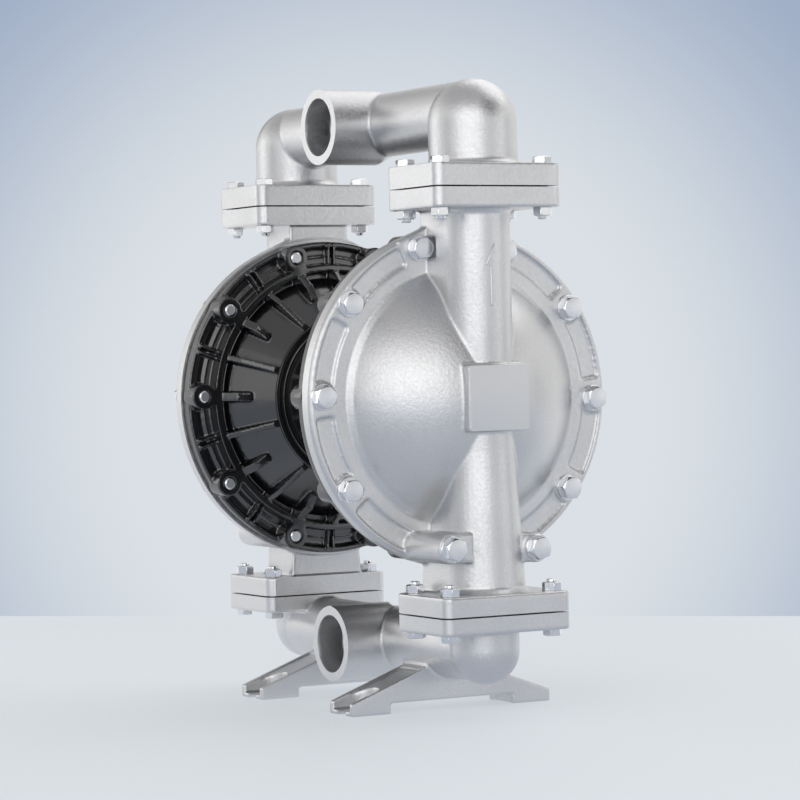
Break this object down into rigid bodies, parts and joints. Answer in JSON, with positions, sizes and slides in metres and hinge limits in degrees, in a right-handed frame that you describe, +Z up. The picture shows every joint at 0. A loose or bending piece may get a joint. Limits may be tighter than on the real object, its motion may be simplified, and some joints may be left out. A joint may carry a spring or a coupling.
{
  "type": "air-operated double diaphragm pump",
  "caption": "Air-driven diaphragm pump with domed stainless fluid covers, ribbed black air covers, flanged manifolds on cast feet, and ball valves.",
  "frame": {"origin": "middle of the pump at floor level, under the shaft axis", "axes": "+X along the shaft to the right-hand chamber, -Y the way both ports face, +Z up"},
  "size_m": [0.3714, 0.26, 0.4843],
  "materials": {
    "cast_stainless": "blasted casting, satin",
    "black_moulding": "glass-filled, semi-gloss",
    "centre_moulding": "matt",
    "rubber": "matt",
    "seal_rubber": "matt",
    "turned_steel": "turned",
    "plate_aluminium": "machined",
    "bearing_bronze": "machined",
    "bolt_steel": "polished",
    "ball_plastic": "smooth"
  },
  "bodies": {
    "housing": {"outlet_manifold": "cast_stainless", "inlet_manifold": "cast_stainless", "left_fluid_cover": "cast_stainless", "right_fluid_cover": "cast_stainless", "left_air_cover": "black_moulding", "right_air_cover": "black_moulding", "left_diaphragm": "rubber", "right_diaphragm": "rubber", "centre_body": "centre_moulding", "shaft_bushes": "bearing_bronze", "shaft_seals": "seal_rubber", "air_valve_body": "plate_aluminium", "air_valve_gasket": "seal_rubber", "valve_end_caps": "plate_aluminium", "valve_cap_screws": "bolt_steel", "valve_screws": "bolt_steel", "muffler": "centre_moulding", "inlet_seats": "turned_steel", "outlet_seats": "turned_steel", "inlet_seat_seals": "seal_rubber", "outlet_seat_seals": "seal_rubber", "left_cover_bolts": "bolt_steel", "right_cover_bolts": "bolt_steel", "left_cover_washers": "bolt_steel", "right_cover_washers": "bolt_steel", "left_thread_inserts": "turned_steel", "right_thread_inserts": "turned_steel", "outlet_flange_bolts": "bolt_steel", "inlet_flange_bolts": "bolt_steel", "outlet_flange_nuts": "bolt_steel", "inlet_flange_nuts": "bolt_steel", "left_centre_screws": "bolt_steel", "right_centre_screws": "bolt_steel"},
    "shaft": {"diaphragm_shaft": "turned_steel", "left_outer_plate": "turned_steel", "right_outer_plate": "turned_steel", "left_inner_plate": "plate_aluminium", "right_inner_plate": "plate_aluminium"},
    "pilot": {"pilot_rod": "turned_steel"},
    "spool": {"air_valve_spool": "turned_steel"},
    "left_inlet_valve": {"left_inlet_ball": "ball_plastic"},
    "right_inlet_valve": {"right_inlet_ball": "ball_plastic"},
    "left_outlet_valve": {"left_outlet_ball": "ball_plastic"},
    "right_outlet_valve": {"right_outlet_ball": "ball_plastic"}
  },
  "joints": [
    {"name": "shaft_slide", "type": "slide", "parent": "housing", "child": "shaft", "axis": [1, 0, 0], "range_m": [-0.02, 0.02], "deforming": ["left_diaphragm", "right_diaphragm"]},
    {"name": "pilot_slide", "type": "slide", "parent": "housing", "child": "pilot", "axis": [1, 0, 0], "range_m": [-0.004, 0.004]},
    {"name": "spool_slide", "type": "slide", "parent": "housing", "child": "spool", "axis": [1, 0, 0], "range_m": [-0.008, 0.008]},
    {"name": "left_inlet_lift", "type": "slide", "parent": "housing", "child": "left_inlet_valve", "axis": [0, 0, 1], "range_m": [0, 0.012]},
    {"name": "right_inlet_lift", "type": "slide", "parent": "housing", "child": "right_inlet_valve", "axis": [0, 0, 1], "range_m": [0, 0.012]},
    {"name": "left_outlet_lift", "type": "slide", "parent": "housing", "child": "left_outlet_valve", "axis": [0, 0, 1], "range_m": [0, 0.012]},
    {"name": "right_outlet_lift", "type": "slide", "parent": "housing", "child": "right_outlet_valve", "axis": [0, 0, 1], "range_m": [0, 0.012]}
  ],
  "couplings": [
    {"joint": "pilot_slide", "follows": "shaft_slide", "ratio": 0.2}
  ]
}
